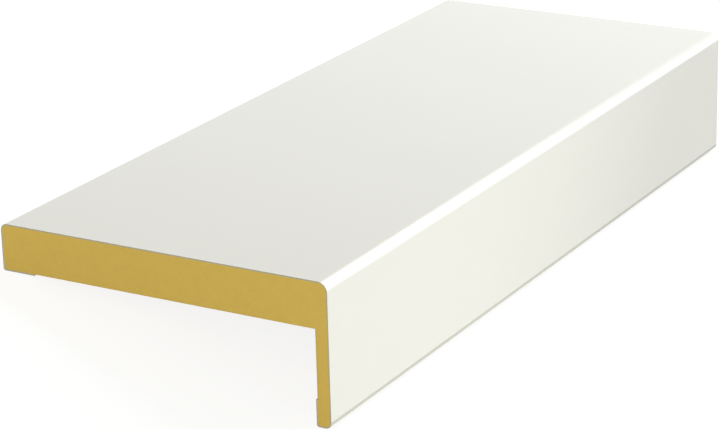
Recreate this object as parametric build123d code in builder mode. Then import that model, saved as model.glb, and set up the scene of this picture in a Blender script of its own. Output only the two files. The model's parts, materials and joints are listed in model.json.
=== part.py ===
from build123d import *
import math
import os

# A short length of door casing. Its section is an L: a broad face board of fibreboard, with
# a thin leg that runs back from the board's outer edge and slides into the groove of the
# door frame. White foil is wrapped round everything that shows once the casing is up. It
# starts with a hem on the back of the board and ends with a hem inside the leg's tip, and
# between the two hems the board is bare.
#
# The section is drawn as the casing is fitted: x runs across the face, from the free edge
# to the leg, and y runs out from the wall, with the face at y = 0. The stock then lies as it
# does when it is put down with its face up. It leans on its free edge and on the tip of its
# leg, with its length along Y and the origin on the floor below its middle.

# Driving dimensions, in millimetres
stock_length = 198.0
face_width = 80.0  # over the foil, from the free edge to the outside of the leg
leg_depth = 31.5  # over the foil, from the face to the leg's tip
board_thickness = 10.0  # bare fibreboard
leg_thickness = 2.8  # bare fibreboard
foil_thickness = 0.3
back_hem = 8.0  # width of the hem on the back of the board, over the foil
leg_hem = 6.0  # height of the hem inside the leg's tip, over the foil

# Radii over the foil, where it is bent round an edge of the board
corner_radius = 2.2  # between the face and the leg
free_edge_radius = 1.6  # between the face and the free edge
tip_radius = 1.4  # outer edge of the leg's tip
hem_bend_radius = 0.5  # where the foil turns into each hem

# The bare fibreboard's planes, inside the foil
board_edge = foil_thickness
board_face = -foil_thickness
board_back = board_face - board_thickness
leg_outside = face_width - foil_thickness
leg_inside = leg_outside - leg_thickness
leg_tip = foil_thickness - leg_depth

# The foil rests on two hem bends, which are arcs of one radius, so the floor is parallel to
# the line between their centres and one radius below it.
back_bend = Vector(hem_bend_radius, board_back - foil_thickness + hem_bend_radius)
tip_bend = Vector(leg_inside - foil_thickness + hem_bend_radius, hem_bend_radius - leg_depth)
lean = math.atan2(back_bend.Y - tip_bend.Y, tip_bend.X - back_bend.X)


def leaned(point):
    """A point of the section, turned by the lean about the section's own zero."""
    return Vector(
        point.X * math.cos(lean) - point.Y * math.sin(lean),
        point.X * math.sin(lean) + point.Y * math.cos(lean),
    )


# Leaned, the stock reaches furthest to the left at the bend between its face and its free
# edge, and furthest to the right at the outer edge of the leg's tip.
edge_bend = Vector(free_edge_radius, -free_edge_radius)
outer_tip_bend = Vector(face_width - tip_radius, tip_radius - leg_depth)
leftmost = leaned(edge_bend).X - free_edge_radius
rightmost = leaned(outer_tip_bend).X + tip_radius
floor = leaned(back_bend).Y - hem_bend_radius

# The section stands at the far end, and the stock is extruded from there to the near end.
section_plane = Plane(
    origin=(-(leftmost + rightmost) / 2, stock_length / 2, -floor),
    x_dir=(math.cos(lean), 0, math.sin(lean)),
    z_dir=(0, -1, 0),
)

# The foil follows one line round the board, from the edge of the back hem to the edge of
# the leg hem. A bare line closes the board's outline: down inside the leg and along the
# back, which meet in a sharp machined corner.
back_hem_edge = (back_hem, board_back)
leg_hem_edge = (leg_inside, leg_hem - leg_depth)
wrapped_corners = {
    (board_edge, board_back): hem_bend_radius,
    (board_edge, board_face): free_edge_radius,
    (leg_outside, board_face): corner_radius,
    (leg_outside, leg_tip): tip_radius,
    (leg_inside, leg_tip): hem_bend_radius,
}
with BuildLine() as wrapped_line:
    FilletPolyline(
        back_hem_edge,
        *wrapped_corners,
        leg_hem_edge,
        radius=[radius - foil_thickness for radius in wrapped_corners.values()],
    )
with BuildLine() as bare_line:
    Polyline(leg_hem_edge, (leg_inside, board_back), back_hem_edge)

# The fibreboard. Its section is faced outside a sketch and isn't cleaned, because either
# would merge the seat of each hem with the bare board beside it, which is a mount.
board_section = section_plane * make_face([wrapped_line.line, bare_line.line])
with BuildPart() as fibreboard_core:
    extrude(board_section, amount=stock_length, clean=False)

# The foil: its line thickened outwards by one foil, with both hem edges cut square.
with BuildPart() as foil_wrap:
    with BuildSketch(section_plane):
        with BuildLine():
            add(wrapped_line.line)
            offset(amount=foil_thickness, side=Side.LEFT)
        make_face()
    extrude(amount=stock_length)

fibreboard_core.part.label = "fibreboard_core"
foil_wrap.part.label = "foil_wrap"

os.makedirs("parts", exist_ok=True)
for piece in (fibreboard_core, foil_wrap):
    export_step(piece.part, f"parts/{piece.part.label}.step")
print(f"The stock leans {math.degrees(lean):.2f} degrees.")
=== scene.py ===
# %% [markdown]
# # A short length of white door casing
#
# The casing is an L-shaped moulding of fibreboard with white foil wrapped round every side that
# shows once it is fitted. The broad board lies on the wall, and the thin leg slides into a groove
# of the door frame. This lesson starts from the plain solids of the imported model, which give the
# size and the place of everything. It builds the two pieces again with the fine shapes and the
# finishes that the plain solids leave out.

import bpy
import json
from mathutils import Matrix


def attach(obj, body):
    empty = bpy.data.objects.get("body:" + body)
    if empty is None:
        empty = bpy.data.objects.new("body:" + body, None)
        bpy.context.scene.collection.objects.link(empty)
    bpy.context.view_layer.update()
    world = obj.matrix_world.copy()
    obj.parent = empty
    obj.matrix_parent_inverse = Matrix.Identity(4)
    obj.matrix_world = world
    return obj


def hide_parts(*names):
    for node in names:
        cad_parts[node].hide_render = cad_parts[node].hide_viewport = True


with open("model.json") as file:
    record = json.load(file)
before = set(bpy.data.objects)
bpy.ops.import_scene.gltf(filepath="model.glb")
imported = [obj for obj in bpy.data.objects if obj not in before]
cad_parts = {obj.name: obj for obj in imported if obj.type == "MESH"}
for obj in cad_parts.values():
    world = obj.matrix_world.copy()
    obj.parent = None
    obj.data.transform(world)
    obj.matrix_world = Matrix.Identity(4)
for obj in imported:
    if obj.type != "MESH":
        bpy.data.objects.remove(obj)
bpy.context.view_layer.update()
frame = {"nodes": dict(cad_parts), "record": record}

# %% Modules and units
import json
import math

import bpy
from mathutils import Matrix, Vector, kdtree
from mathutils.geometry import delaunay_2d_cdt

mm = 0.001
print("Blender", bpy.app.version_string, "with a millimetre as", mm)

# %% [markdown]
# ## The section's own frame
#
# The stock lies face up and leans on its free edge and on the tip of its leg, so no side of it is
# level. It is easier to think in the frame of the section: across the face from the free edge,
# along the length, and out from the wall, with the face at nought. The lean comes from the packed
# record, where the mount on the bare back says which way the back looks. The zero is the corner
# that the face and the free edge would make if it were sharp, and it is measured on the foil.

# %% Turn places in the section into places in the model
mounts = {mount["name"]: mount for mount in frame["record"]["mounts"]}
lean = math.asin(mounts["back_face"]["axis"][0])
unlean = Matrix.Rotation(lean, 4, "Y")
level_foil = [unlean @ vertex.co for vertex in frame["nodes"]["foil_wrap"].data.vertices]
section_zero = Vector((min(p.x for p in level_foil), 0.0, max(p.z for p in level_foil)))
section_to_model = unlean.inverted() @ Matrix.Translation(section_zero)
model_to_section = section_to_model.inverted()


def section_points(node):
    """A node's corners as (across, along, out), in metres."""
    return [model_to_section @ vertex.co for vertex in frame["nodes"][node].data.vertices]


print(f"the stock leans {math.degrees(lean):.2f} degrees")

# %% [markdown]
# ## Sizes, read from the model
#
# Every flat of the section ends where a bend starts, so the solids give the radii of the bends as
# well as the widths. Measuring them here keeps one set of sizes for the model and its looks.

# %% Measure the section
foil = section_points("foil_wrap")
board = section_points("fibreboard_core")
touch = 0.001 * mm  # closer than this counts as lying on a plane
near_end = min(p.y for p in board)
stock_length = max(p.y for p in board) - near_end
face_width = max(p.x for p in foil)
leg_depth = -min(p.z for p in foil)
foil_thickness = min(p.x for p in board)
board_back = (model_to_section @ Vector(mounts["back_face"]["pos_m"])).z
leg_inside = (model_to_section @ Vector(mounts["leg_inside_face"]["pos_m"])).x
back_hem = max(p.x for p in foil if p.x < face_width / 2 and p.z < board_back - touch)
leg_hem_top = max(p.z for p in foil if p.x < leg_inside - touch and p.z < 2 * board_back)
print(f"face {face_width / mm:.1f} mm, leg {leg_depth / mm:.1f} mm, foil {foil_thickness / mm:.2f} mm")
print(f"hems to {back_hem / mm:.1f} mm across and {leg_hem_top / mm:.1f} mm out")

# %% Measure the bends
face_flat = [p.x for p in foil if p.z > -touch]
tip_flat = [p.x for p in foil if p.z < touch - leg_depth]
free_edge_radius = min(face_flat)
corner_radius = face_width - max(face_flat)
tip_radius = face_width - max(tip_flat)
hem_bend_radius = min(tip_flat) - (leg_inside - foil_thickness)
bend_radii = (hem_bend_radius, free_edge_radius, corner_radius, tip_radius)
print("radii:", [round(radius / mm, 2) for radius in bend_radii])

# %% [markdown]
# ## The camera
#
# The photograph is a product shot with a long lens, from above the near end and from the leg's
# side. The camera's place was worked out from the straight edges of the stock in the photograph,
# in the section's frame. There the face is level, so here the camera leans with the stock, and
# both keep the view that the photograph has.

# %% Place the camera
camera_stand = Vector((331.2, -512.24, 186.86)) * mm  # across, along and out
camera_aim = Vector((65.89, -61.41, 0.0)) * mm  # where its axis meets the plane of the face
camera_roll = math.radians(1.612)
camera_lens = 131.98  # millimetres, on a sensor 36 mm wide

aim = (camera_aim - camera_stand).normalized()
level_right = aim.cross(Vector((0, 0, 1))).normalized()
right = Matrix.Rotation(camera_roll, 3, aim) @ level_right
up = right.cross(aim)
turn = Matrix((right, up, -aim)).transposed().to_4x4()
camera_data = bpy.data.cameras.new("camera")
camera_data.lens = camera_lens
camera_data.sensor_width = 36.0
camera_data.clip_end = 20.0
camera = bpy.data.objects.new("camera", camera_data)
camera.matrix_world = section_to_model @ Matrix.Translation(camera_stand) @ turn
bpy.context.scene.collection.objects.link(camera)
bpy.context.scene.camera = camera
print("camera at", [round(x, 4) for x in camera.matrix_world.translation])

# %% [markdown]
# ## Helpers for node trees
#
# Materials and Geometry Nodes are both trees of nodes. One short helper adds a node, fills in its
# sockets and links whatever is another node's output, so that a tree reads from top to bottom like
# a recipe.

# %% Add nodes to a tree


def add(tree, kind, sockets=None, **settings):
    """Adds a node. A socket's value may be a number, a vector, a material or another output."""
    node = tree.nodes.new(kind)
    for name, value in settings.items():
        setattr(node, name, value)
    for key, value in (sockets or {}).items():
        if isinstance(value, bpy.types.NodeSocket):
            tree.links.new(value, node.inputs[key])
        else:
            node.inputs[key].default_value = value
    return node


def maths(tree, operation, *values):
    """A Math node's result."""
    return add(tree, "ShaderNodeMath", dict(enumerate(values)), operation=operation).outputs[0]


def new_group(name, kind, inputs, outputs):
    """A node group with named sockets: inputs give (type, value), outputs only the type."""
    tree = bpy.data.node_groups.new(name, kind)
    for label, (socket_type, value) in inputs.items():
        socket = tree.interface.new_socket(label, in_out="INPUT", socket_type=socket_type)
        if value is not None:
            socket.default_value = value
    for label, socket_type in outputs.items():
        tree.interface.new_socket(label, in_out="OUTPUT", socket_type=socket_type)
    return tree, tree.nodes.new("NodeGroupInput").outputs, tree.nodes.new("NodeGroupOutput")


def colour(red, green, blue):
    """A colour written as it looks on a screen, from 0 to 255, turned into linear light."""
    def linear(value):
        share = value / 255
        return share / 12.92 if share <= 0.04045 else ((share + 0.055) / 1.055) ** 2.4
    return (linear(red), linear(green), linear(blue), 1.0)


print("half of 255 is", round(colour(127.5, 127.5, 127.5)[0], 3), "in linear light")

# %% [markdown]
# ## Felted fibres
#
# Fibreboard is wood ground to fibres and pressed flat. The fibres lie every way in the plane of the
# board and are thin through its thickness. A solid texture shows this right on every face: long
# strands on the back, and short dashes and dots on a cut end. The group stretches one noise along
# four directions in the board's plane and keeps the strongest of them. The foil uses the group too,
# because the board below prints through it very faintly.

# %% Build the fibre group
FLOAT, VECTOR = "NodeSocketFloat", "NodeSocketVector"
fibre_directions = 4
first_direction = 0.35  # of a step, so that no direction is straight along or across the stock
noises_apart = 3.7  # each direction has a noise of its own
strand_from, strand_full = 0.48, 0.78  # the noise where a strand begins and where it is full
clump_size = 3.2 * mm


def build_felted_fibres():
    tree, given, result = new_group(
        "felted_fibres", "ShaderNodeTree",
        {"Vector": (VECTOR, None), "Length": (FLOAT, 2.4 * mm), "Width": (FLOAT, 0.3 * mm),
         "Thickness": (FLOAT, 0.14 * mm)},
        {"Strands": FLOAT, "Clumps": FLOAT})
    size = add(tree, "ShaderNodeCombineXYZ",
               {"X": given["Length"], "Y": given["Width"], "Z": given["Thickness"]}).outputs[0]
    strongest = None
    for index in range(fibre_directions):
        direction = math.pi * (index + first_direction) / fibre_directions
        turned = add(tree, "ShaderNodeVectorRotate", {"Vector": given["Vector"], "Angle": direction},
                     rotation_type="Z_AXIS").outputs[0]
        scaled = add(tree, "ShaderNodeVectorMath", {0: turned, 1: size}, operation="DIVIDE").outputs[0]
        noise = add(tree, "ShaderNodeTexNoise",
                    {"Vector": scaled, "W": noises_apart * index, "Scale": 1.0, "Detail": 2.0,
                     "Roughness": 0.6},
                    noise_dimensions="4D").outputs[0]
        strongest = noise if strongest is None else maths(tree, "MAXIMUM", strongest, noise)
    strands = add(tree, "ShaderNodeMapRange",
                  {"Value": strongest, "From Min": strand_from, "From Max": strand_full}).outputs[0]
    coarse = add(tree, "ShaderNodeVectorMath",
                 {0: given["Vector"], "Scale": 1 / clump_size}, operation="SCALE").outputs[0]
    clumps = add(tree, "ShaderNodeTexNoise",
                 {"Vector": coarse, "Scale": 1.0, "Detail": 4.0, "Roughness": 0.62}).outputs[0]
    tree.links.new(strands, result.inputs["Strands"])
    tree.links.new(clumps, result.inputs["Clumps"])
    return tree


felted_fibres = build_felted_fibres()
print(f"{felted_fibres.name}: {len(felted_fibres.nodes)} nodes, fibres in {fibre_directions} directions")

# %% [markdown]
# ## Cutter marks
#
# A moulding is planed by a spinning cutter while it is fed past, which leaves fine ripples across
# it, and a saw leaves arcs on the ends. Both are the same effect: even waves along some distance,
# which drift a little and come and go, because no feed is quite even. The group takes that
# distance, so the material decides whether the ripples are straight or curved.

# %% Build the cutter mark group
drift_scale = 60.0  # swings of the feed in a metre
fade_scale = 140.0  # places in a metre where the marks come and go


def build_cutter_marks():
    tree, given, result = new_group(
        "cutter_marks", "ShaderNodeTree",
        {"Distance": (FLOAT, 0.0), "Pitch": (FLOAT, 1.6 * mm), "Vector": (VECTOR, None),
         "Unevenness": (FLOAT, 0.5)},
        {"Ripple": FLOAT})
    drift = add(tree, "ShaderNodeTexNoise",
                {"Vector": given["Vector"], "Scale": drift_scale, "Detail": 2.0}).outputs[0]
    cycles = maths(tree, "DIVIDE", given["Distance"], given["Pitch"])
    shifted = maths(tree, "MULTIPLY_ADD", drift, given["Unevenness"], cycles)
    wave = maths(tree, "SINE", maths(tree, "MULTIPLY", shifted, 2 * math.pi))
    fade = add(tree, "ShaderNodeTexNoise",
               {"Vector": given["Vector"], "Scale": fade_scale, "Detail": 1.0}).outputs[0]
    ripple = maths(tree, "MULTIPLY_ADD", maths(tree, "MULTIPLY", wave, fade), 0.5, 0.5)
    tree.links.new(ripple, result.inputs["Ripple"])
    return tree


cutter_marks = build_cutter_marks()
print(f"{cutter_marks.name}: {len(cutter_marks.nodes)} nodes")

# %% [markdown]
# ## Patches left by handling
#
# No surface is equally smooth all over. Stacking, sliding and dust leave soft patches a few
# centimetres wide that shine a little more or less. Every finish here takes its roughness from
# this group, each with its own level and range.

# %% Build the handling group
patch_scale = 28.0  # patches in a metre


def build_handled():
    tree, given, result = new_group(
        "handled", "ShaderNodeTree",
        {"Vector": (VECTOR, None), "Level": (FLOAT, 0.5), "Range": (FLOAT, 0.08)},
        {"Roughness": FLOAT, "Patches": FLOAT})
    wide = add(tree, "ShaderNodeTexNoise",
               {"Vector": given["Vector"], "Scale": patch_scale, "Detail": 5.0,
                "Roughness": 0.55}).outputs[0]
    spread = maths(tree, "SUBTRACT", wide, 0.5)
    roughness = maths(tree, "MULTIPLY_ADD", spread, given["Range"], given["Level"])
    tree.links.new(roughness, result.inputs["Roughness"])
    tree.links.new(wide, result.inputs["Patches"])
    return tree


handled = build_handled()
print(f"{handled.name}: {len(handled.nodes)} nodes, patches {1000 / patch_scale:.0f} mm wide")

# %% [markdown]
# ## Starting a material
#
# Each material reads Object coordinates, turned and moved into the section's frame, so that its
# grain follows the leaning board and stays put on the piece from any side.

# %% Start a material in the section's frame


def start_material(name):
    """A material's tree, its Principled shader and its coordinates in the section's frame."""
    material = bpy.data.materials.new(name)
    material.use_nodes = True
    tree = material.node_tree
    place = add(tree, "ShaderNodeTexCoord").outputs["Object"]
    section = add(tree, "ShaderNodeMapping",
                  {"Vector": place, "Rotation": model_to_section.to_euler(),
                   "Location": model_to_section.translation}).outputs[0]
    return material, tree, tree.nodes["Principled BSDF"], section


def tint(tree, factor, low, high):
    """A colour that runs from low to high with the factor."""
    return add(tree, "ShaderNodeMix", {"Factor": factor, "A": low, "B": high},
               data_type="RGBA").outputs["Result"]


print("the section's frame is turned by", [round(math.degrees(a), 2) for a in model_to_section.to_euler()])

# %% [markdown]
# ## White foil
#
# The foil is a satin film about as thick as a postcard, off-white with a hint of yellow. It is
# smooth, so most of its look is its soft shine. Two things keep it from looking like a flat
# colour: a fine emboss, and the board that prints through very faintly. On tightly bent foil a
# grey is painted into the colour, as painted shade for bends that turn away from the light. The
# leg's tip, which the stock stands on, shows that as a thin line along the whole leg. The foil's
# shape carries this painted shade as an attribute, so the material can read it.

# %% Make the foil's finish
foil_white, foil_brighter = colour(233, 233, 229), colour(236, 236, 233)
# painted shade: the grey for tight bends, which stands in for the shade they get
foil_painted_shade = colour(202, 202, 193)
foil_relief = 0.02 * mm
emboss_scale = 4200.0  # grains in a metre
emboss_share, print_through = 0.45, 0.3  # of the relief


def make_white_foil():
    material, tree, shader, section = start_material("satin_white_foil")
    board_below = add(tree, "ShaderNodeGroup",
                      {"Vector": section, "Length": 5.0 * mm, "Width": 1.1 * mm,
                       "Thickness": 1.1 * mm}, node_tree=felted_fibres)
    emboss = add(tree, "ShaderNodeTexNoise",
                 {"Vector": section, "Scale": emboss_scale, "Detail": 1.0}).outputs[0]
    height = maths(tree, "MULTIPLY_ADD", board_below.outputs["Strands"], print_through,
                   maths(tree, "MULTIPLY", emboss, emboss_share))
    bump = add(tree, "ShaderNodeBump", {"Height": height, "Distance": foil_relief, "Strength": 1.0})
    surface = add(tree, "ShaderNodeGroup", {"Vector": section, "Level": 0.30, "Range": 0.06},
                  node_tree=handled)
    plain = tint(tree, surface.outputs["Patches"], foil_white, foil_brighter)
    # painted shade on tight bends, read from the shape, turns the foil grey there
    painted_bend_shade = add(tree, "ShaderNodeAttribute", attribute_name="painted_bend_shade").outputs["Fac"]
    base = tint(tree, painted_bend_shade, plain, foil_painted_shade)
    tree.links.new(base, shader.inputs["Base Color"])
    tree.links.new(surface.outputs["Roughness"], shader.inputs["Roughness"])
    tree.links.new(bump.outputs[0], shader.inputs["Normal"])
    return material


white_foil = make_white_foil()
print(f"{white_foil.name}: {len(white_foil.node_tree.nodes)} nodes")

# %% [markdown]
# ## The foil's cut edge
#
# Where the foil is cut, its body shows: a grey film with the glue behind it, duller than the face.
# In the photograph it draws a fine grey line all round the cut end.

# %% Make the cut edge's finish
film_dark, film_light = colour(150, 146, 132), colour(176, 172, 158)
speck_scale = 2600.0  # specks in a metre


def make_foil_edge():
    material, tree, shader, section = start_material("foil_cut_edge")
    surface = add(tree, "ShaderNodeGroup", {"Vector": section, "Level": 0.62, "Range": 0.12},
                  node_tree=handled)
    speck = add(tree, "ShaderNodeTexNoise",
                {"Vector": section, "Scale": speck_scale, "Detail": 2.0}).outputs[0]
    base = tint(tree, speck, film_dark, film_light)
    tree.links.new(base, shader.inputs["Base Color"])
    tree.links.new(surface.outputs["Roughness"], shader.inputs["Roughness"])
    return material


foil_cut_edge = make_foil_edge()
print(f"{foil_cut_edge.name}: {len(foil_cut_edge.node_tree.nodes)} nodes")

# %% [markdown]
# ## Sawn and planed fibreboard
#
# The same board shows two finishes. On its ends the saw cut across the fibres, so they are matt,
# pale ochre and finely speckled. On the back and inside the leg the planer left a denser and
# slightly browner skin with faint ripples.

# %% Make fibreboard's finish
strand_share, clump_share = 0.55, 0.45  # of the shade
board_relief = 0.03 * mm


def fibreboard(name, low, high, level, marks_from, pitch, marks_height):
    """Fibreboard's finish. marks_from takes the tree and the place and gives the marks' distance."""
    material, tree, shader, section = start_material(name)
    fibres = add(tree, "ShaderNodeGroup", {"Vector": section}, node_tree=felted_fibres)
    surface = add(tree, "ShaderNodeGroup", {"Vector": section, "Level": level, "Range": 0.1},
                  node_tree=handled)
    marks = add(tree, "ShaderNodeGroup",
                {"Vector": section, "Distance": marks_from(tree, section), "Pitch": pitch},
                node_tree=cutter_marks)
    shade = maths(tree, "MULTIPLY_ADD", fibres.outputs["Strands"], strand_share,
                  maths(tree, "MULTIPLY", fibres.outputs["Clumps"], clump_share))
    base = tint(tree, shade, low, high)
    height = maths(tree, "MULTIPLY_ADD", marks.outputs["Ripple"], marks_height,
                   fibres.outputs["Strands"])
    bump = add(tree, "ShaderNodeBump", {"Height": height, "Distance": board_relief, "Strength": 0.6})
    tree.links.new(base, shader.inputs["Base Color"])
    tree.links.new(surface.outputs["Roughness"], shader.inputs["Roughness"])
    tree.links.new(bump.outputs[0], shader.inputs["Normal"])
    shader.inputs["Specular IOR Level"].default_value = 0.25
    return material


print(f"fibres and marks stand {board_relief / mm:.2f} mm high")

# %% [markdown]
# The two finishes differ in their colours, their shine and in where their marks come from. The
# saw's marks are arcs about its centre, which was above the face. The planer's are straight, and
# follow one another along the stock.

# %% Make the sawn and the planed finish
saw_radius = 125.0 * mm
saw_centre = Vector((0.55 * face_width, 0.0, saw_radius - 0.7 * leg_depth))
saw_pitch = 0.9 * mm
planer_pitch = 1.6 * mm


def from_saw_centre(tree, section):
    """Distance from the saw's centre, in the plane of the cut."""
    flat = add(tree, "ShaderNodeVectorMath", {0: section, 1: (1, 0, 1)}, operation="MULTIPLY").outputs[0]
    return add(tree, "ShaderNodeVectorMath", {0: flat, 1: saw_centre},
               operation="DISTANCE").outputs["Value"]


def along_feed(tree, section):
    """Distance along the stock, which is the way it was fed past the planer."""
    return add(tree, "ShaderNodeSeparateXYZ", {0: section}).outputs["Y"]


sawn_fibreboard = fibreboard(
    "sawn_fibreboard", low=colour(196, 164, 82), high=colour(214, 183, 95), level=0.8,
    marks_from=from_saw_centre, pitch=saw_pitch, marks_height=0.4)
planed_fibreboard = fibreboard(
    "planed_fibreboard", low=colour(176, 143, 74), high=colour(203, 171, 95), level=0.66,
    marks_from=along_feed, pitch=planer_pitch, marks_height=0.8)
for finish in (sawn_fibreboard, planed_fibreboard):
    print(f"{finish.name}: {len(finish.node_tree.nodes)} nodes")

# %% [markdown]
# ## The line of the wrap
#
# Both pieces share one line: the board's outline wherever foil lies on it, which is also the
# inside of the foil. It is straight runs joined by arcs. For each point the line also keeps the
# way that the surface looks there, because the foil is as thick round a bend as on a flat, and
# that needs the true direction and not one averaged from facets. It also keeps a share of painted
# shade: the tight bends, most of all the leg's tip that the stock stands on, are painted grey.
# Each flat gets a holding point just before and just after a bend. Without them smooth shading
# would spread the bend's first facet over the whole flat, and a face 80 mm wide would look
# slightly domed.

# %% Draw the wrapped line
bend_step = math.radians(5)
hold = 0.2 * mm


def rounded_line(corners, radii, bend_shade_paint):
    """Points of a line through rounded corners, each as (place, way outwards, share of painted shade)."""
    points = []
    for index, corner in enumerate(corners):
        before = (corner - corners[max(index - 1, 0)]).normalized()
        after = (corners[min(index + 1, len(corners) - 1)] - corner).normalized()
        if not radii[index]:
            way = after if index == 0 else before
            points.append((corner, Vector((-way.y, way.x)), 0.0))
            continue
        bend = before.angle_signed(after)
        outward = Vector((-before.y, before.x))
        start = corner - before * radii[index] * math.tan(abs(bend) / 2)
        centre = start - outward * radii[index]
        steps = max(3, round(abs(bend) / bend_step))
        points.append((start - before * hold, outward, 0.0))
        for step in range(steps + 1):
            way = outward.copy()
            way.rotate(Matrix.Rotation(-bend * step / steps, 2))
            points.append((centre + way * radii[index], way, bend_shade_paint[index]))
        points.append((points[-1][0] + after * hold, way, 0.0))
    return points


wrapped_corners = [
    Vector((back_hem, board_back)),
    Vector((foil_thickness, board_back)),
    Vector((foil_thickness, -foil_thickness)),
    Vector((face_width - foil_thickness, -foil_thickness)),
    Vector((face_width - foil_thickness, foil_thickness - leg_depth)),
    Vector((leg_inside, foil_thickness - leg_depth)),
    Vector((leg_inside, leg_hem_top)),
]
outer_radii = [0, hem_bend_radius, free_edge_radius, corner_radius, tip_radius, hem_bend_radius, 0]
# painted shade on each bend: tight bends and the leg's tip get the most, the free edge a trace
bend_shade_paint = [0, 1.0, 0.05, 0, 1.0, 1.0, 0]
inner_radii = [max(0.0, radius - foil_thickness) for radius in outer_radii]
wrapped_line = rounded_line(wrapped_corners, inner_radii, bend_shade_paint)
print(len(wrapped_line), "points on the wrapped line")

# %% [markdown]
# ## Running a Geometry Nodes tree
#
# Each piece starts from a small mesh that holds its section, and a tree turns that into the whole
# piece. The helper sets the tree's inputs by their identifiers, reads the result as a plain mesh
# and throws the start away, so that no modifier is left on the piece.

# %% Run a tree on a mesh
SHAPE, WHOLE, MATERIAL = "NodeSocketGeometry", "NodeSocketInt", "NodeSocketMaterial"


def new_tree(name, inputs):
    """A Geometry Nodes tree that takes a shape and named inputs and gives a shape."""
    return new_group(name, "GeometryNodeTree", {"Geometry": (SHAPE, None), **inputs},
                     {"Geometry": SHAPE})


def grow(name, start_mesh, tree, values):
    """Runs the tree on the mesh and gives the result as a plain object."""
    start = bpy.data.objects.new("start_of_" + name, start_mesh)
    bpy.context.scene.collection.objects.link(start)
    modifier = start.modifiers.new("grow", "NODES")
    modifier.node_group = tree
    for item in tree.interface.items_tree:
        if item.in_out == "INPUT" and item.name in values:
            modifier[item.identifier] = values[item.name]
    graph = bpy.context.evaluated_depsgraph_get()
    mesh = bpy.data.meshes.new_from_object(
        start.evaluated_get(graph), preserve_all_data_layers=True, depsgraph=graph)
    start.modifiers.clear()
    bpy.data.objects.remove(start)
    mesh.name = name
    piece = bpy.data.objects.new(name, mesh)
    bpy.context.scene.collection.objects.link(piece)
    low = [round(min(v.co[axis] for v in mesh.vertices) / mm, 2) for axis in range(3)]
    high = [round(max(v.co[axis] for v in mesh.vertices) / mm, 2) for axis in range(3)]
    print(f"{name}: {len(mesh.polygons)} faces, from {low} to {high} mm")
    return piece


# %% [markdown]
# Both trees share three steps. The first reads a value that the start's points keep. The second
# joins two halves into a closed shape and shades it smooth, apart from its hard edges. The third
# ends the tree: Realize Instances makes sure that all of it is real mesh, because an export drops
# instances, and Set Material gives the finish, then a second one on the sides that Extrude made.

# %% Add the steps that both trees share
hard_edge = math.radians(32)


def kept(tree, name, kind="FLOAT_VECTOR"):
    """The value of that name on the points."""
    return add(tree, "GeometryNodeInputNamedAttribute", {"Name": name}, data_type=kind).outputs[0]


def closed_and_sharp(tree, halves):
    """Joins halves that share a rim, and shades them smooth apart from their hard edges."""
    join = add(tree, "GeometryNodeJoinGeometry")
    for half in halves:
        tree.links.new(half, join.inputs[0])
    merged = add(tree, "GeometryNodeMergeByDistance",
                 {"Geometry": join.outputs[0], "Distance": touch}).outputs[0]
    smooth = add(tree, "GeometryNodeSetShadeSmooth", {"Geometry": merged, "Shade Smooth": True},
                 domain="FACE").outputs[0]
    bend = add(tree, "GeometryNodeInputMeshEdgeAngle").outputs["Unsigned Angle"]
    hard = maths(tree, "GREATER_THAN", bend, hard_edge)
    return add(tree, "GeometryNodeSetShadeSmooth",
               {"Geometry": smooth, "Selection": hard, "Shade Smooth": False}, domain="EDGE").outputs[0]


def end_tree(tree, result, shape, finish, sides, side_finish):
    """Makes the shape real, gives it its finish, and gives its sides a finish of their own."""
    real = add(tree, "GeometryNodeRealizeInstances", {0: shape}).outputs[0]
    whole = add(tree, "GeometryNodeSetMaterial", {"Geometry": real, "Material": finish}).outputs[0]
    both = add(tree, "GeometryNodeSetMaterial",
               {"Geometry": whole, "Selection": sides, "Material": side_finish}).outputs[0]
    tree.links.new(both, result.inputs["Geometry"])


print(f"an edge is hard from {math.degrees(hard_edge):.0f} degrees")

# %% [markdown]
# ## The foil as a sheet
#
# Real foil comes as a flat strip off a roll, and rollers press it round the board. The tree does
# the same: a flat grid is laid on the line of the wrap, where each column of the grid takes its
# place from one point of the line, and each row moves on along the stock. The two long edges were
# trimmed with a knife, so they wander by about a tenth of a millimetre.

# %% Lay a flat grid on the line


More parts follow.
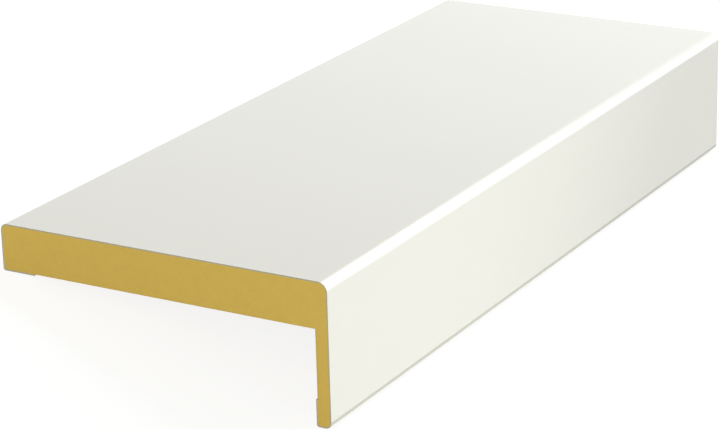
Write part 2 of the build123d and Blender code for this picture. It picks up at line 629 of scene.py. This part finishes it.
def lay_sheet(tree, given):
    """A grid with a column for each of the line's points and rows along the stock."""
    line = given["Geometry"]
    columns = add(tree, "GeometryNodeAttributeDomainSize", {"Geometry": line}).outputs["Point Count"]
    grid = add(tree, "GeometryNodeMeshGrid",
               {"Vertices X": columns, "Vertices Y": given["Rows"]}).outputs["Mesh"]
    index = add(tree, "GeometryNodeInputIndex").outputs[0]
    column = add(tree, "FunctionNodeIntegerMath", {0: index, 1: given["Rows"]},
                 operation="DIVIDE_FLOOR").outputs[0]
    row = add(tree, "FunctionNodeIntegerMath", {0: index, 1: given["Rows"]},
              operation="MODULO").outputs[0]

    def of_line(value, kind="FLOAT_VECTOR"):
        """The value at the column's point of the line."""
        return add(tree, "GeometryNodeSampleIndex", {"Geometry": line, "Index": column, "Value": value},
                   data_type=kind).outputs[0]

    def store(shape, name, kind="FLOAT_VECTOR"):
        """Writes one of the line's kept values onto the sheet."""
        return add(tree, "GeometryNodeStoreNamedAttribute",
                   {"Geometry": shape, "Name": name, "Value": of_line(kept(tree, name, kind), kind)},
                   data_type=kind, domain="POINT").outputs[0]

    last_row = maths(tree, "SUBTRACT", given["Rows"], 1.0)
    along = maths(tree, "MULTIPLY", maths(tree, "DIVIDE", row, last_row), given["Length"])
    step = add(tree, "ShaderNodeCombineXYZ", {"Y": along}).outputs[0]
    swings = maths(tree, "DIVIDE", along, given["Wander Length"])
    wander_place = add(tree, "ShaderNodeCombineXYZ", {"X": column, "Y": swings}).outputs[0]
    noise = add(tree, "ShaderNodeTexNoise",
                {"Vector": wander_place, "W": given["Seed"], "Scale": 1.0, "Detail": 3.0},
                noise_dimensions="4D").outputs[0]
    swing = maths(tree, "MULTIPLY", maths(tree, "SUBTRACT", noise, 0.5),
                  maths(tree, "MULTIPLY", given["Hem Wander"], 2.0))
    trimmed = add(tree, "ShaderNodeVectorMath", {0: of_line(kept(tree, "trim")), "Scale": swing},
                  operation="SCALE").outputs[0]
    offset = add(tree, "ShaderNodeVectorMath", {0: step, 1: trimmed}, operation="ADD").outputs[0]
    laid = add(tree, "GeometryNodeSetPosition",
               {"Geometry": grid, "Position": of_line(add(tree, "GeometryNodeInputPosition").outputs[0]),
                "Offset": offset}).outputs[0]
    # the sheet takes its way outwards and its painted bend shade from the line
    return store(store(laid, "outward"), "painted_bend_shade", "FLOAT")


print("the sheet gets a column for each of the line's", len(wrapped_line), "points")

# %% [markdown]
# Then the sheet gets its thickness. Extrude Mesh adds sides round the rim, and the faces then rise
# along the kept directions, so the foil is equally thick on flats and bends. Nothing is left where
# the faces were, so the sheet as it was laid is joined on there, turned to look the other way.

# %% Build the foil's tree


def build_foil_tree():
    tree, given, result = new_tree("foil_sheet", {
        "Length": (FLOAT, 0.2), "Rows": (WHOLE, 100), "Thickness": (FLOAT, 0.3 * mm),
        "Hem Wander": (FLOAT, 0.1 * mm), "Wander Length": (FLOAT, 14.0 * mm), "Seed": (WHOLE, 1),
        "Foil": (MATERIAL, None), "Cut Edge": (MATERIAL, None)})
    sheet = lay_sheet(tree, given)
    thick = add(tree, "GeometryNodeExtrudeMesh",
                {"Mesh": sheet, "Offset Scale": 0.0, "Individual": False}, mode="FACES")
    rise = add(tree, "ShaderNodeVectorMath",
               {0: kept(tree, "outward"), "Scale": given["Thickness"]}, operation="SCALE").outputs[0]
    outside = add(tree, "GeometryNodeSetPosition",
                  {"Geometry": thick.outputs["Mesh"], "Selection": thick.outputs["Top"],
                   "Offset": rise}).outputs[0]
    inside = add(tree, "GeometryNodeFlipFaces", {0: sheet}).outputs[0]
    closed = closed_and_sharp(tree, [outside, inside])
    end_tree(tree, result, closed, given["Foil"], thick.outputs["Side"], given["Cut Edge"])
    return tree


foil_tree = build_foil_tree()
print(f"{foil_tree.name}: {len(foil_tree.nodes)} nodes")

# %% [markdown]
# The start of the foil is the wrapped line as a chain of points at the near end. Each point keeps
# its way outwards, its share of painted shade, and the way in which the trimming knife may have
# wandered, which is nought except on the two ends of the line.

# %% Keep values on the points of a start


def in_model(across, along, out):
    return section_to_model @ Vector((across, along, out))


def direction_in_model(across, out):
    return section_to_model.to_3x3() @ Vector((across, 0.0, out))


def keep(mesh, name, kind, values):
    """Writes one value on each point of a mesh, for a tree to read by its name."""
    attribute = mesh.attributes.new(name, kind, "POINT")
    field = "vector" if kind == "FLOAT_VECTOR" else "value"
    for item, value in zip(attribute.data, values):
        setattr(item, field, value)


print("the near end is at", round(in_model(0.0, near_end, 0.0).y / mm, 2), "mm along")

# %% Lay the foil
row_step = 1.5 * mm


def wrapped_line_mesh():
    """The wrapped line at the near end, with what each of its points keeps."""
    mesh = bpy.data.meshes.new("wrapped_line")
    mesh.from_pydata([in_model(p.x, near_end, p.y) for p, *_ in wrapped_line],
                     [(i, i + 1) for i in range(len(wrapped_line) - 1)], [])
    ways = [direction_in_model(way.x, way.y) for _, way, _ in wrapped_line]
    keep(mesh, "outward", "FLOAT_VECTOR", ways)
    # the painted shade of the bends, as grey in the foil's colour
    keep(mesh, "painted_bend_shade", "FLOAT", [share for *_, share in wrapped_line])
    not_trimmed = [Vector()] * (len(wrapped_line) - 2)
    keep(mesh, "trim", "FLOAT_VECTOR",
         [direction_in_model(1.0, 0.0), *not_trimmed, direction_in_model(0.0, 1.0)])
    return mesh


casing_foil = grow("casing_foil", wrapped_line_mesh(), foil_tree, {
    "Length": stock_length, "Rows": round(stock_length / row_step) + 1, "Thickness": foil_thickness,
    "Hem Wander": 0.12 * mm, "Wander Length": 14.0 * mm, "Seed": 7,
    "Foil": white_foil, "Cut Edge": foil_cut_edge})

# %% [markdown]
# ## The end face as small triangles
#
# A saw leaves relief on the cut ends, and relief needs points to move. The end face is the
# section's outline with an even grid of points inside it, joined up by a Delaunay triangulation,
# which gives neat triangles of one size and keeps the outline. Every second row of the grid is
# moved along by half a step, and points that would crowd the outline are left out.

# %% Fill the section's outline with points
end_spacing = 0.32 * mm
clear_of_outline = 0.6 * end_spacing


def spaced(points, spacing):
    """The same line with a point about every spacing, without its last point."""
    result = []
    for start, end in zip(points, points[1:]):
        steps = max(1, round((end - start).length / spacing))
        result += [start.lerp(end, step / steps) for step in range(steps)]
    return result


def inside_section(x, z):
    in_board = foil_thickness < x < face_width - foil_thickness and board_back < z < -foil_thickness
    in_leg = leg_inside < x < face_width - foil_thickness and foil_thickness - leg_depth < z
    return in_board or (in_leg and z < -foil_thickness)


def tree_of(points):
    """A search tree of flat points."""
    tree = kdtree.KDTree(len(points))
    for index, point in enumerate(points):
        tree.insert((point.x, point.y, 0.0), index)
    tree.balance()
    return tree


def inner_points(outline):
    """An even grid of points inside the outline, clear of the outline's own."""
    near_outline = tree_of(outline)
    row_height = end_spacing * math.sqrt(3) / 2
    inner = []
    for row in range(round(leg_depth / row_height)):
        for column in range(round(face_width / end_spacing)):
            x = (column + 0.5 * (row % 2)) * end_spacing
            z = -row * row_height
            if inside_section(x, z) and near_outline.find((x, z, 0.0))[2] > clear_of_outline:
                inner.append(Vector((x, z)))
    return inner


wrapped = spaced([point for point, *_ in wrapped_line], end_spacing)
bare = spaced([wrapped_corners[-1], Vector((leg_inside, board_back)), wrapped_corners[0]], end_spacing)
outline = wrapped + bare
inner = inner_points(outline)
print(f"{len(wrapped)} wrapped and {len(bare)} bare points on the outline, {len(inner)} inside")

# %% [markdown]
# The triangles are made in millimetres, because the triangulation's tolerance is a plain number.
# Points near a bare edge are marked as worn, because the saw breaks fibres away there, while the
# foil holds them along a wrapped edge.

# %% Triangulate the end face
worn_width = 0.45 * mm
tolerance = 1e-6  # in millimetres here


def end_face_mesh():
    near_bare = tree_of(bare)
    rim = [(index, (index + 1) % len(outline)) for index in range(len(outline))]
    places = [point / mm for point in outline + inner]
    corners, _, faces, *_ = delaunay_2d_cdt(places, rim, [], 1, tolerance)
    used = sorted({index for face in faces for index in face})
    renamed = {old: new for new, old in enumerate(used)}
    corners = [corners[index] for index in used]
    faces = [[renamed[index] for index in face] for face in faces]
    mesh = bpy.data.meshes.new("end_face")
    mesh.from_pydata([in_model(p.x * mm, near_end, p.y * mm) for p in corners], [], faces)
    gaps = [near_bare.find((point.x * mm, point.y * mm, 0.0))[2] for point in corners]
    keep(mesh, "worn", "FLOAT", [max(0.0, 1.0 - gap / worn_width) ** 2 for gap in gaps])
    print(f"end face: {len(corners)} points, {len(faces)} triangles")
    return mesh


end_face = end_face_mesh()

# %% [markdown]
# ## What the saw did to the ends
#
# The saw left shallow arcs, tore out short fibres and a few deeper pits, and wore the bare edges
# down a little. Each of these is a depth that changes over the cut, and their sum sinks the ends
# along the stock. Everything is cut into the board, so it stays as long as the model says. The
# sides don't change: their points are on the ends too, and only move along the stock.

# %% Sink the sawn ends
saw_drift_scale = 90.0  # swings of the saw's feed in a metre
torn_scale, pit_scale, wear_scale = 1500.0, 700.0, 900.0  # features in a metre
pit_from, pit_full = 0.66, 0.78  # the noise where a pit begins and where it is deepest


def sink_ends(tree, given, closed):
    """Sinks both ends of the drawn board by what the saw did."""
    place = add(tree, "GeometryNodeInputPosition").outputs[0]
    end = maths(tree, "SIGN", add(tree, "ShaderNodeSeparateXYZ", {0: place}).outputs["Y"])
    chance = maths(tree, "ADD", given["Seed"], end)

    def noise(scale, stretch, detail):
        """Noise over the cut, stretched along the layers of the board."""
        level = add(tree, "ShaderNodeVectorRotate",
                    {"Vector": place, "Axis": (0.0, 1.0, 0.0), "Angle": given["Lean"]}).outputs[0]
        squeezed = add(tree, "ShaderNodeVectorMath", {0: level, 1: (1 / stretch, 0.0, 1.0)},
                       operation="MULTIPLY").outputs[0]
        return add(tree, "ShaderNodeTexNoise",
                   {"Vector": squeezed, "W": chance, "Scale": scale, "Detail": detail},
                   noise_dimensions="4D").outputs[0]

    flat = add(tree, "ShaderNodeVectorMath", {0: place, 1: (1.0, 0.0, 1.0)},
               operation="MULTIPLY").outputs[0]
    radius = add(tree, "ShaderNodeVectorMath", {0: flat, 1: given["Saw Centre"]},
                 operation="DISTANCE").outputs["Value"]
    cycles = maths(tree, "ADD", maths(tree, "DIVIDE", radius, given["Saw Pitch"]),
                   noise(saw_drift_scale, 1.0, 1.0))
    wave = maths(tree, "SINE", maths(tree, "MULTIPLY", cycles, 2 * math.pi))
    arcs = maths(tree, "MULTIPLY", maths(tree, "MULTIPLY_ADD", wave, 0.5, 0.5), given["Saw Depth"])
    torn = maths(tree, "MULTIPLY", noise(torn_scale, 3.0, 2.0), given["Fibre Depth"])
    pit = add(tree, "ShaderNodeMapRange",
              {"Value": noise(pit_scale, 2.0, 2.0), "From Min": pit_from, "From Max": pit_full},
              interpolation_type="SMOOTHSTEP").outputs[0]
    pits = maths(tree, "MULTIPLY", pit, given["Pit Depth"])
    worn = maths(tree, "MULTIPLY", kept(tree, "worn", "FLOAT"), noise(wear_scale, 2.0, 2.0))
    wear = maths(tree, "MULTIPLY", worn, given["Edge Wear"])
    depth = maths(tree, "ADD", maths(tree, "ADD", arcs, torn), maths(tree, "ADD", pits, wear))
    inwards = add(tree, "ShaderNodeCombineXYZ",
                  {"Y": maths(tree, "MULTIPLY", depth, maths(tree, "MULTIPLY", end, -1.0))}).outputs[0]
    return add(tree, "GeometryNodeSetPosition", {"Geometry": closed, "Offset": inwards}).outputs[0]


print(f"torn fibres about {1000 / torn_scale:.1f} mm apart, pits {1000 / pit_scale:.1f} mm")

# %% [markdown]
# ## The board
#
# The board is the end face drawn out along the stock, as the moulding is pushed past the cutters.
# The tree turns the end face round and extrudes it to the far end, closes the shape with the end
# face as it was, and then sinks both ends. The sides that Extrude made are the planed ones.

# %% Build the board's tree


def build_board_tree():
    tree, given, result = new_tree("board_from_end", {
        "Length": (FLOAT, 0.2), "Lean": (FLOAT, 0.0), "Saw Centre": (VECTOR, None),
        "Saw Pitch": (FLOAT, 0.9 * mm), "Saw Depth": (FLOAT, 0.01 * mm),
        "Fibre Depth": (FLOAT, 0.02 * mm), "Pit Depth": (FLOAT, 0.06 * mm),
        "Edge Wear": (FLOAT, 0.06 * mm), "Seed": (WHOLE, 1),
        "Sawn": (MATERIAL, None), "Planed": (MATERIAL, None)})
    near = given["Geometry"]
    turned = add(tree, "GeometryNodeFlipFaces", {0: near}).outputs[0]
    way = add(tree, "ShaderNodeCombineXYZ", {"Y": given["Length"]}).outputs[0]
    drawn = add(tree, "GeometryNodeExtrudeMesh",
                {"Mesh": turned, "Offset": way, "Offset Scale": 1.0, "Individual": False}, mode="FACES")
    closed = closed_and_sharp(tree, [drawn.outputs["Mesh"], near])
    sunk = sink_ends(tree, given, closed)
    end_tree(tree, result, sunk, given["Sawn"], drawn.outputs["Side"], given["Planed"])
    return tree


board_tree = build_board_tree()
print(f"{board_tree.name}: {len(board_tree.nodes)} nodes")

# %% Draw out the board
casing_board = grow("casing_board", end_face, board_tree, {
    "Length": stock_length, "Lean": lean,
    "Saw Centre": section_to_model @ saw_centre, "Saw Pitch": saw_pitch,
    "Saw Depth": 0.012 * mm, "Fibre Depth": 0.03 * mm, "Pit Depth": 0.08 * mm,
    "Edge Wear": 0.16 * mm, "Seed": 3, "Sawn": sawn_fibreboard, "Planed": planed_fibreboard})

# %% [markdown]
# ## Joining the pieces to the model
#
# The stock is one body with no joints, so both pieces ride on it. Each one stands for its plain
# solid, which is hidden.

# %% Ride and replace
for piece, node, slot in ((casing_board, "fibreboard_core", "fibreboard"),
                          (casing_foil, "foil_wrap", "white_foil")):
    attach(piece, "root")
    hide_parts(node)
    print(f"{piece.name} stands for {node}, in {slot}")

# %% [markdown]
# ## Floor and backdrop
#
# The photograph has no room in it, only white. The floor is a pale diffuse sheet that catches a
# soft shadow. For camera rays, and for what a shiny surface mirrors, part of its brightness is its
# own light, so that it reads as white paper without any more light on the casing. From below it is
# clear for the camera, so that the back of the stock can be looked at.

# %% Lay the floor
floor_half = 6.0
floor_lit = colour(212, 212, 202)  # what lights the stock from below
floor_share = colour(124, 124, 123)  # the part of what is seen that takes shadows
floor_glow = 0.86  # the rest of it


def seen_directly(tree):
    """One for camera, mirror and transmission rays, and nought for the rest."""
    ray = add(tree, "ShaderNodeLightPath").outputs
    either = maths(tree, "MAXIMUM", ray["Is Camera Ray"], ray["Is Glossy Ray"])
    return maths(tree, "MAXIMUM", either, ray["Is Transmission Ray"])


def make_floor():
    material = bpy.data.materials.new("pale_floor")
    material.use_nodes = True
    tree = material.node_tree
    tree.nodes.clear()
    lit = add(tree, "ShaderNodeBsdfDiffuse", {"Color": floor_lit}).outputs[0]
    share = add(tree, "ShaderNodeBsdfDiffuse", {"Color": floor_share}).outputs[0]
    glow = add(tree, "ShaderNodeEmission", {"Strength": floor_glow}).outputs[0]
    paper = add(tree, "ShaderNodeAddShader", {0: share, 1: glow}).outputs[0]
    above = add(tree, "ShaderNodeMixShader", {0: seen_directly(tree), 1: lit, 2: paper}).outputs[0]
    clear = add(tree, "ShaderNodeBsdfTransparent").outputs[0]
    from_below = maths(tree, "MULTIPLY", add(tree, "ShaderNodeNewGeometry").outputs["Backfacing"],
                       add(tree, "ShaderNodeLightPath").outputs["Is Camera Ray"])
    mix = add(tree, "ShaderNodeMixShader", {0: from_below, 1: above, 2: clear}).outputs[0]
    add(tree, "ShaderNodeOutputMaterial", {"Surface": mix})
    mesh = bpy.data.meshes.new("floor")
    reach = (-floor_half, floor_half)
    mesh.from_pydata([(x, y, 0.0) for y in reach for x in reach], [], [(0, 1, 3, 2)])
    mesh.materials.append(material)
    floor = bpy.data.objects.new("floor", mesh)
    bpy.context.scene.collection.objects.link(floor)
    return floor


print("floor:", [round(side, 1) for side in make_floor().dimensions], "m")

# %% [markdown]
# The world is a weak even light from all round, which softens every shadow. Seen directly or in a
# mirror it is white, as the floor is.

# %% Light the world
white = (1.0, 1.0, 1.0, 1.0)
sky_strength = 0.25


def make_world():
    world = bpy.data.worlds.new("backdrop")
    world.use_nodes = True
    tree = world.node_tree
    tree.nodes.clear()
    soft = add(tree, "ShaderNodeBackground", {"Color": white, "Strength": sky_strength}).outputs[0]
    seen = add(tree, "ShaderNodeBackground", {"Color": white, "Strength": 1.0}).outputs[0]
    mix = add(tree, "ShaderNodeMixShader", {0: seen_directly(tree), 1: soft, 2: seen}).outputs[0]
    add(tree, "ShaderNodeOutputWorld", {"Surface": mix})
    bpy.context.scene.world = world


make_world()
print("world:", sky_strength, "of white paper")

# %% [markdown]
# ## Soft boxes
#
# Product light is large and soft, and each lamp here has one job. A box stands beyond the far end,
# low and towards the leg's side, where the rounded corner mirrors it and turns pure white along its
# whole length. A small one nearer and higher up makes the face grow brighter towards that end. A
# warm box in front lights the cut end. That one is very wide, because a small box that lights the
# end as much is so bright that it burns out the face for someone who looks from behind. White paper
# looks as bright as a box's level times the box's share of all that the paper faces. On the casing
# the boxes and the world add up to about 1, so its colours look as they are written.

# %% Hang the soft boxes


def turn_towards(light, stand, towards):
    light.location = stand
    light.rotation_euler = (Vector(towards) - Vector(stand)).to_track_quat("-Z", "Y").to_euler()
    bpy.context.scene.collection.objects.link(light)


def soft_box(name, stand, towards, width, height, radiance, light_colour=(1.0, 1.0, 1.0)):
    """A rectangular light, given by how bright it looks: 1 is as bright as white paper."""
    data = bpy.data.lights.new(name, "AREA")
    data.shape = "RECTANGLE"
    data.size = width
    data.size_y = height
    data.color = light_colour
    data.energy = radiance * math.pi * width * height
    turn_towards(bpy.data.objects.new(name, data), stand, towards)
    print(f"{name}: {data.energy:.2f} W from {width} by {height} m")


warm = (1.0, 1.0, 0.80)
soft_box("far_box", (0.54, 1.11, 0.40), (0.0, 0.0, 0.02), width=0.70, height=0.65, radiance=5.0)
soft_box("over_box", (0.0, 0.40, 0.50), (0.0, 0.08, 0.02), width=0.3, height=0.3, radiance=8.2)
soft_box("front_box", (-0.15, -1.25, 0.54), (0.0, -0.1, 0.02), width=2.0, height=1.0, radiance=1.98,
         light_colour=warm)

# %% [markdown]
# ## A spot on the leg
#
# In the photograph the leg is bright and warm up to its middle and then fades towards the far end.
# A spot with a wide soft rim does that. It stands low at the leg's side, below the plane of the
# face, so that of the foil it touches only the leg and the lower half of the rounded corner. It
# points a little over the leg, so the leg is brightest along its top.

# %% Point the spot at the near half of the leg


def soft_spot(name, stand, towards, across, beam, brightness, light_colour):
    """A spot, given by how bright it makes white paper that faces it where it points."""
    data = bpy.data.lights.new(name, "SPOT")
    data.spot_size = math.radians(beam)
    data.spot_blend = 1.0
    data.shadow_soft_size = across / 2
    data.color = light_colour
    distance = (Vector(towards) - Vector(stand)).length
    data.energy = brightness * (2 * math.pi * distance) ** 2
    turn_towards(bpy.data.objects.new(name, data), stand, towards)
    print(f"{name}: {data.energy:.2f} W, {distance:.2f} m away, beam {beam:.0f} degrees")


soft_spot("leg_spot", (0.90, -0.30, 0.06), (0.04, -0.085, 0.06), across=0.06, beam=21.0,
          brightness=0.385, light_colour=(1.0, 1.0, 0.92))

# %% [markdown]
#
# The Standard view shows each colour as it is written.

# %% Set the view
bpy.context.scene.view_settings.view_transform = "Standard"
